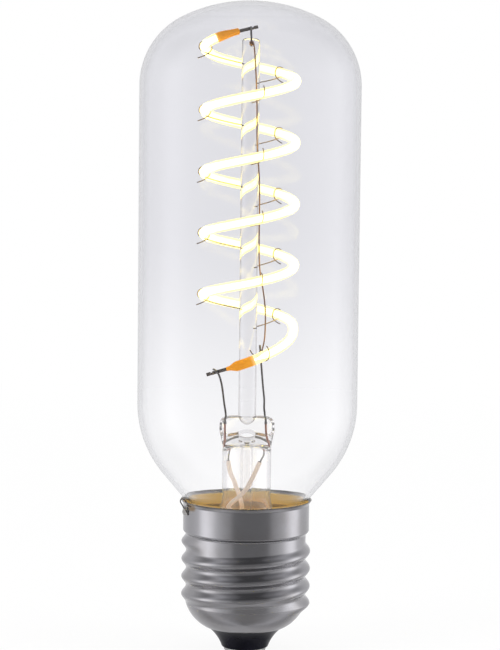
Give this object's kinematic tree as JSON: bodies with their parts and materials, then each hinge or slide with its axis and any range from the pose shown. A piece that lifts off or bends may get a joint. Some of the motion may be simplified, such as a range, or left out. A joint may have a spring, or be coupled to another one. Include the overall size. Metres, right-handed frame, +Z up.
{
  "type": "tubular light bulb",
  "caption": "Clear tubular LED bulb with a spiral filament wound round a glass rod, a pinched glass stem and an E27 screw cap with a black insulator and centre contact.",
  "frame": {"origin": "centre of the centre contact's face, on the bulb's axis", "axes": "+Z up the axis from the contact to the top of the glass; -Y towards the viewer of the picture; +X to the viewer's right"},
  "size_m": [0.0448, 0.0448, 0.1326],
  "materials": {
    "clear_glass": "clear blown glass",
    "stem_glass": "clear drawn glass",
    "phosphor": "glowing silicone with yellow phosphor",
    "terminal_metal": "stamped thin strip",
    "lead_metal": "drawn wire",
    "copper_wire": "drawn copper coloured wire",
    "sleeve": "woven insulating sleeve",
    "cap_metal": "satin nickel plate",
    "vitrite": "glossy black glass",
    "contact_metal": "satin nickel plate",
    "solder": "dull tin solder",
    "cement": "baked resin cement",
    "board": "bare laminate",
    "chip_plastic": "moulded package",
    "can_metal": "sleeved can",
    "resistor_body": "lacquered body"
  },
  "bodies": {
    "root": {"glass_envelope": "clear_glass", "cap_shell": "cap_metal", "insulator": "vitrite", "centre_contact": "contact_metal", "contact_wire": "lead_metal", "contact_solder": "solder", "led_filament": "phosphor", "filament_terminal_bottom": "terminal_metal", "filament_terminal_top": "terminal_metal", "top_post": "lead_metal", "hook_left_1": "lead_metal", "hook_left_2": "lead_metal", "hook_left_3": "lead_metal", "hook_left_4": "lead_metal", "hook_left_5": "lead_metal", "hook_back_1": "lead_metal", "hook_back_2": "lead_metal", "hook_back_3": "lead_metal", "hook_back_4": "lead_metal", "hook_back_5": "lead_metal", "hook_front_1": "lead_metal", "hook_front_2": "lead_metal", "hook_front_3": "lead_metal", "hook_front_4": "lead_metal", "hook_tail": "lead_metal", "centre_rod": "stem_glass", "lead_inner_left": "lead_metal", "seal_wire_left": "copper_wire", "lead_outer_left": "copper_wire", "sleeve_left": "sleeve", "lead_inner_right": "lead_metal", "seal_wire_right": "copper_wire", "lead_outer_right": "copper_wire", "sleeve_right": "sleeve", "return_wire": "copper_wire", "stem_flare": "stem_glass", "exhaust_tube": "stem_glass", "side_wire": "lead_metal", "basing_cement": "cement", "side_solder": "solder", "driver_board": "board", "bridge_rectifier": "chip_plastic", "driver_chip": "chip_plastic", "smoothing_capacitor": "can_metal", "fuse_resistor": "resistor_body"}
  },
  "joints": []
}
